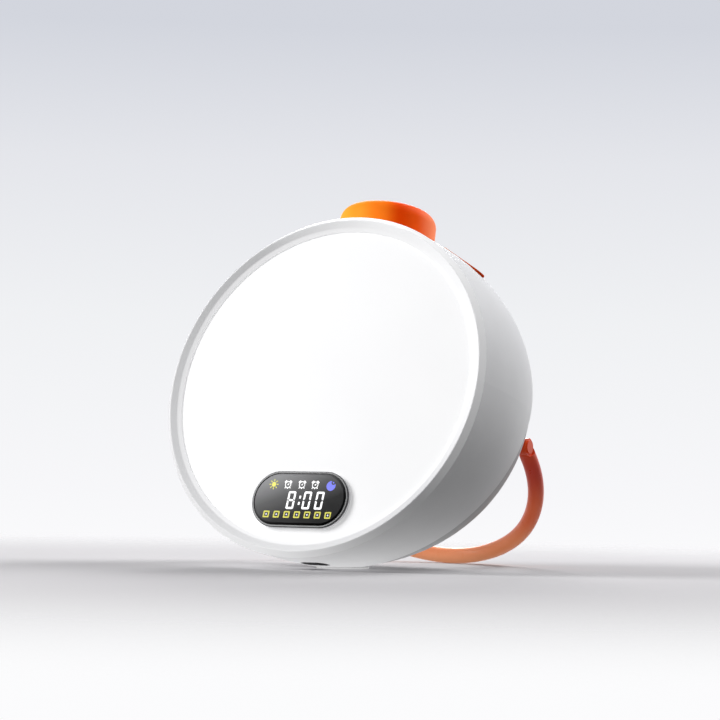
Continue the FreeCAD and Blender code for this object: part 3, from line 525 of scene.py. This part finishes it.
def rounded_square(x, y, size, corner):
    half = size / 2 - corner
    points = []
    for index, (a, b) in enumerate(((1, 1), (-1, 1), (-1, -1), (1, -1))):
        points += circle(x + a * half, y + b * half, corner, 6, 90.0 * index, 90.0)
    return points


def flat_mesh(name, outlines, holes=()):
    """Thin plate from outlines in millimetres; each hole is a pair of an outer and an inner outline."""
    mesh = bpy.data.meshes.new(name)
    work = bmesh.new()
    for points in outlines:
        face = work.faces.new([work.verts.new((x, y, 0.0)) for x, y in points])
        face.normal_update()
        if face.normal.z < 0:
            face.normal_flip()
    for outer, inner in holes:
        ring_out = [work.verts.new((x, y, 0.0)) for x, y in outer]
        ring_in = [work.verts.new((x, y, 0.0)) for x, y in inner]
        count = len(outer)
        for index in range(count):
            after = (index + 1) % count
            work.faces.new((ring_out[index], ring_out[after], ring_in[after], ring_in[index]))
    work.to_mesh(mesh)
    work.free()
    return bpy.data.objects.new(name, mesh)


def add_symbol(name, material, outlines, holes=()):
    """Symbol on the display glass that rides on the housing."""
    plate = flat_mesh(name, outlines, holes)
    bpy.context.collection.objects.link(plate)
    place = face_place("display_glass") @ Matrix.Translation((0, 0, SYMBOL_LIFT))
    plate.data.transform(place)
    thick = plate.modifiers.new("thickness", "SOLIDIFY")
    thick.thickness = SYMBOL_THICKNESS * MM
    plate.data.materials.append(material)
    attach(plate, "housing")


def add_symbols():
    """All the lit symbols of the display."""
    white = lit("symbol_white", (1.0, 1.0, 1.0), 0.55)
    yellow = lit("symbol_yellow", (0.72, 0.68, 0.01), 0.2)
    sunny = lit("symbol_sun", (0.88, 0.84, 0.08), 0.3)
    blue = lit("symbol_blue", (0.13, 0.15, 0.90), 0.3)
    pale = lit("symbol_pale", (0.80, 0.80, 1.0), 0.5)

    add_symbol("sun_symbol", sunny, sun_outlines(SUN_PLACE, ICON_HEIGHT))
    alarm, rims = [], []
    for x in ALARM_PLACES:
        alarm += alarm_outlines(x, ICON_HEIGHT)
        rims.append((circle(x, ICON_HEIGHT, ALARM_OUTER), circle(x, ICON_HEIGHT, ALARM_INNER)))
    add_symbol("alarm_symbols", white, alarm, rims)
    add_symbol("moon_symbol", blue, moon_outlines(MOON_PLACE, ICON_HEIGHT - MOON_DROP))

    digits = []
    for left, lit_segments in DIGITS:
        digits += digit_outlines(left, lit_segments)
    level = DIGIT_BOTTOM + DIGIT_HEIGHT / 2
    for side in (-1, 1):
        dot = bar(COLON_PLACE, level + side * COLON_RISE, COLON_WIDTH, COLON_HEIGHT)
        digits.append(slanted(dot, level))
    add_symbol("digits", white, digits)

    squares, dots = [], []
    for x in day_places():
        outer = slanted(rounded_square(x, DAY_HEIGHT, DAY_OUTER, 0.4), DAY_HEIGHT)
        inner = slanted(rounded_square(x, DAY_HEIGHT, DAY_INNER, 0.2), DAY_HEIGHT)
        squares.append((outer, inner))
        dots.append(circle(x, DAY_HEIGHT, DAY_DOT, 16))
    add_symbol("day_squares", yellow, [], squares)
    add_symbol("day_dots", pale, dots)


# Surroundings

def seen_directly(tree):
    """One where the camera, a gloss or a glass sees the surface, nought where it only lights others."""
    path = add_node(tree, "ShaderNodeLightPath")
    seen = path.outputs["Is Camera Ray"]
    for name in ("Is Glossy Ray", "Is Transmission Ray"):
        either = add_node(tree, "ShaderNodeMath", operation="MAXIMUM")
        tree.links.new(seen, either.inputs[0])
        tree.links.new(path.outputs[name], either.inputs[1])
        seen = either.outputs["Value"]
    return seen


def make_floor():
    """Pale floor that keeps the clock's shadow, lights its underside and fades into the backdrop."""
    mesh = bpy.data.meshes.new("floor")
    corners = [(x * FLOOR_HALF, y * FLOOR_HALF, 0) for x, y in ((-1, -1), (1, -1), (1, 1), (-1, 1))]
    mesh.from_pydata(corners, [], [(0, 1, 2, 3)])
    floor = bpy.data.objects.new("floor", mesh)
    bpy.context.collection.objects.link(floor)

    material, tree, shader = start_material("floor_white")
    shader.inputs["Base Color"].default_value = FLOOR_COLOUR
    shader.inputs["Roughness"].default_value = 0.9
    shader.inputs["Specular IOR Level"].default_value = 0.0

    length = add_node(tree, "ShaderNodeVectorMath", operation="LENGTH")
    tree.links.new(place_of(tree), length.inputs[0])
    fade = add_node(tree, "ShaderNodeMapRange", interpolation_type="SMOOTHSTEP")
    fade.inputs["From Min"].default_value = FLOOR_FADE[0]
    fade.inputs["From Max"].default_value = FLOOR_FADE[1]
    tree.links.new(length.outputs["Value"], fade.inputs["Value"])

    under = add_node(tree, "ShaderNodeVectorMath", operation="DISTANCE")
    under.inputs[1].default_value = POOL_PLACE
    tree.links.new(place_of(tree), under.inputs[0])
    pool = span(tree, under.outputs["Value"], *POOL_SPAN)
    light = ramp(tree, pool, ((0.0, grey(POOL_LIGHT[0])), (1.0, grey(POOL_LIGHT[1]))))
    bounce = add_node(tree, "ShaderNodeEmission")
    tree.links.new(light, bounce.inputs["Color"])

    shown = add_node(tree, "ShaderNodeMixShader")
    tree.links.new(seen_directly(tree), shown.inputs[0])
    tree.links.new(bounce.outputs["Emission"], shown.inputs[1])
    tree.links.new(shader.outputs["BSDF"], shown.inputs[2])
    clear = add_node(tree, "ShaderNodeBsdfTransparent")
    mix = add_node(tree, "ShaderNodeMixShader")
    tree.links.new(fade.outputs["Result"], mix.inputs[0])
    tree.links.new(shown.outputs["Shader"], mix.inputs[1])
    tree.links.new(clear.outputs["BSDF"], mix.inputs[2])
    tree.links.new(mix.outputs["Shader"], tree.nodes["Material Output"].inputs["Surface"])
    mesh.materials.append(material)


def make_backdrop():
    """World: a pale backdrop for the camera and for gloss, and a dimmer even light for the rest."""
    world = bpy.data.worlds.new("backdrop")
    world.use_nodes = True
    bpy.context.scene.world = world
    tree = world.node_tree
    tree.nodes.clear()
    way = add_node(tree, "ShaderNodeTexCoord").outputs["Generated"]
    parts = add_node(tree, "ShaderNodeSeparateXYZ")
    tree.links.new(way, parts.inputs[0])
    height = span(tree, parts.outputs["Z"], *BACKDROP_SPAN)
    backdrop = ramp(tree, height, BACKDROP_STOPS)
    shown = add_node(tree, "ShaderNodeBackground")
    tree.links.new(backdrop, shown.inputs["Color"])
    light = add_node(tree, "ShaderNodeBackground")
    light.inputs["Color"].default_value = WORLD_COLOUR
    light.inputs["Strength"].default_value = WORLD_LIGHT
    mix = add_node(tree, "ShaderNodeMixShader")
    output = add_node(tree, "ShaderNodeOutputWorld")
    tree.links.new(seen_directly(tree), mix.inputs[0])
    tree.links.new(light.outputs["Background"], mix.inputs[1])
    tree.links.new(shown.outputs["Background"], mix.inputs[2])
    tree.links.new(mix.outputs["Shader"], output.inputs["Surface"])


def add_softbox(name, place, size, power):
    """Square area lamp that looks at the clock."""
    data = bpy.data.lights.new(name, "AREA")
    data.shape = "SQUARE"
    data.size = size
    data.energy = power
    lamp = bpy.data.objects.new(name, data)
    bpy.context.collection.objects.link(lamp)
    lamp.location = place
    aim = Vector(LAMP_AIM) - Vector(place)
    lamp.rotation_euler = aim.to_track_quat("-Z", "Y").to_euler()


def add_camera():
    data = bpy.data.cameras.new("camera")
    data.lens = CAMERA_LENS
    data.clip_start = 0.01
    camera = bpy.data.objects.new("camera", data)
    bpy.context.collection.objects.link(camera)
    camera.location = CAMERA_PLACE
    camera.rotation_euler = [math.radians(angle) for angle in CAMERA_TURN]
    bpy.context.scene.camera = camera


dress_nodes()
add_symbols()
make_floor()
make_backdrop()
for lamp in LAMPS:
    add_softbox(*lamp)
add_camera()
bpy.context.scene.view_settings.view_transform = "Standard"
